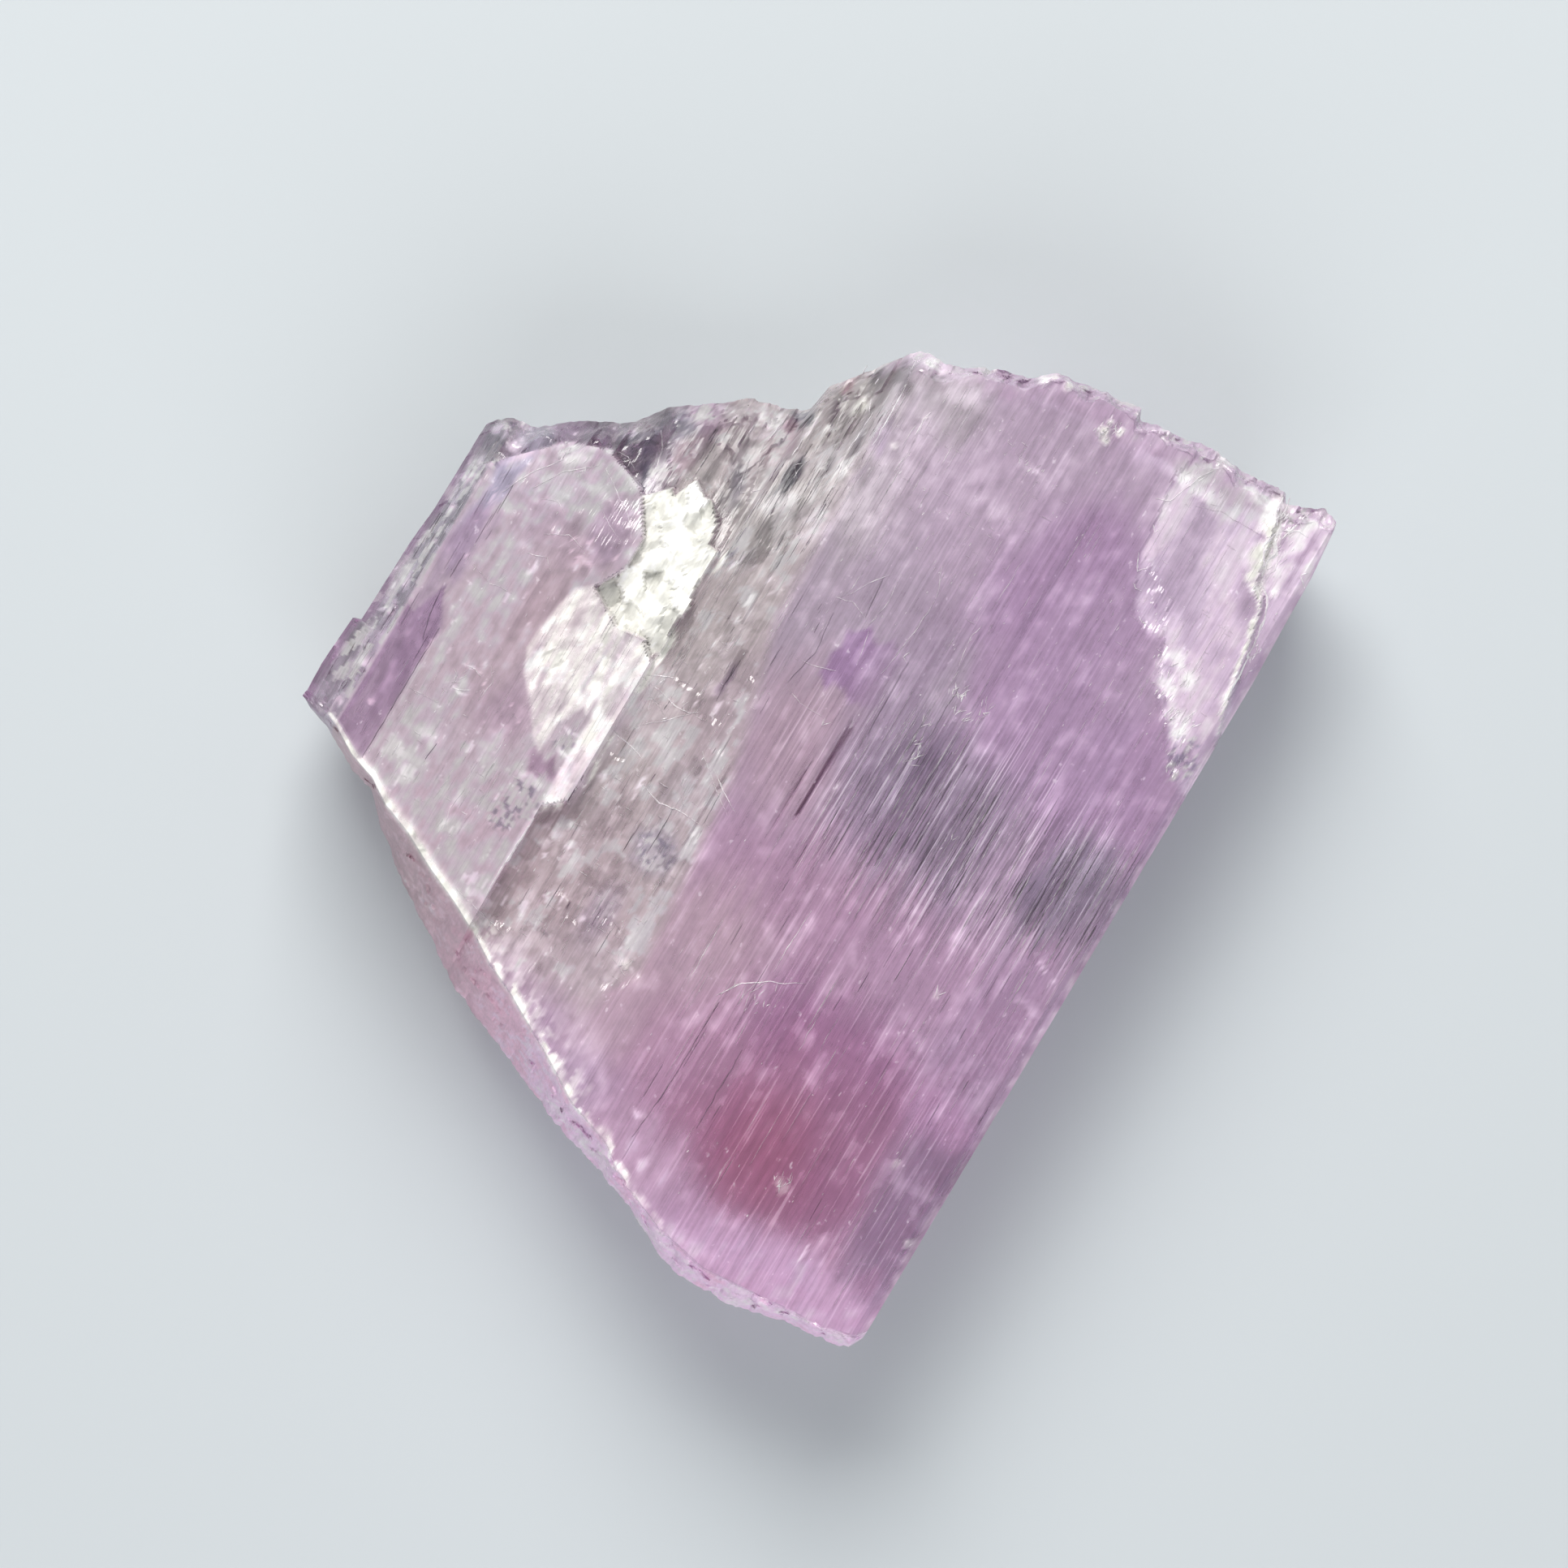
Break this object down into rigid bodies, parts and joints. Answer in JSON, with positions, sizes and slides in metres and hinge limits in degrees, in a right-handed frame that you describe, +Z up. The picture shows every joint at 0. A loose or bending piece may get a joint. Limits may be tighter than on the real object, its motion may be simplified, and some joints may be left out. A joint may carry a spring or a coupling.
{
  "type": "kunzite crystal",
  "caption": "Flat lilac kunzite crystal with a striated face, an etched end and a broken end, lying on its flat back.",
  "frame": {"origin": "on the surface that the crystal lies on, below the middle of its box", "axes": "+Z up, away from the flat back that it lies on; +Y along the striations, towards the broken end; +X across the broad face, towards the long straight edge"},
  "size_m": [0.0682, 0.0828, 0.0191],
  "materials": {
    "kunzite": "clear to milky lilac crystal, glassy on the striated faces, frosted on the etched and broken ends"
  },
  "bodies": {
    "root": {"kunzite_crystal": "kunzite"}
  },
  "joints": []
}
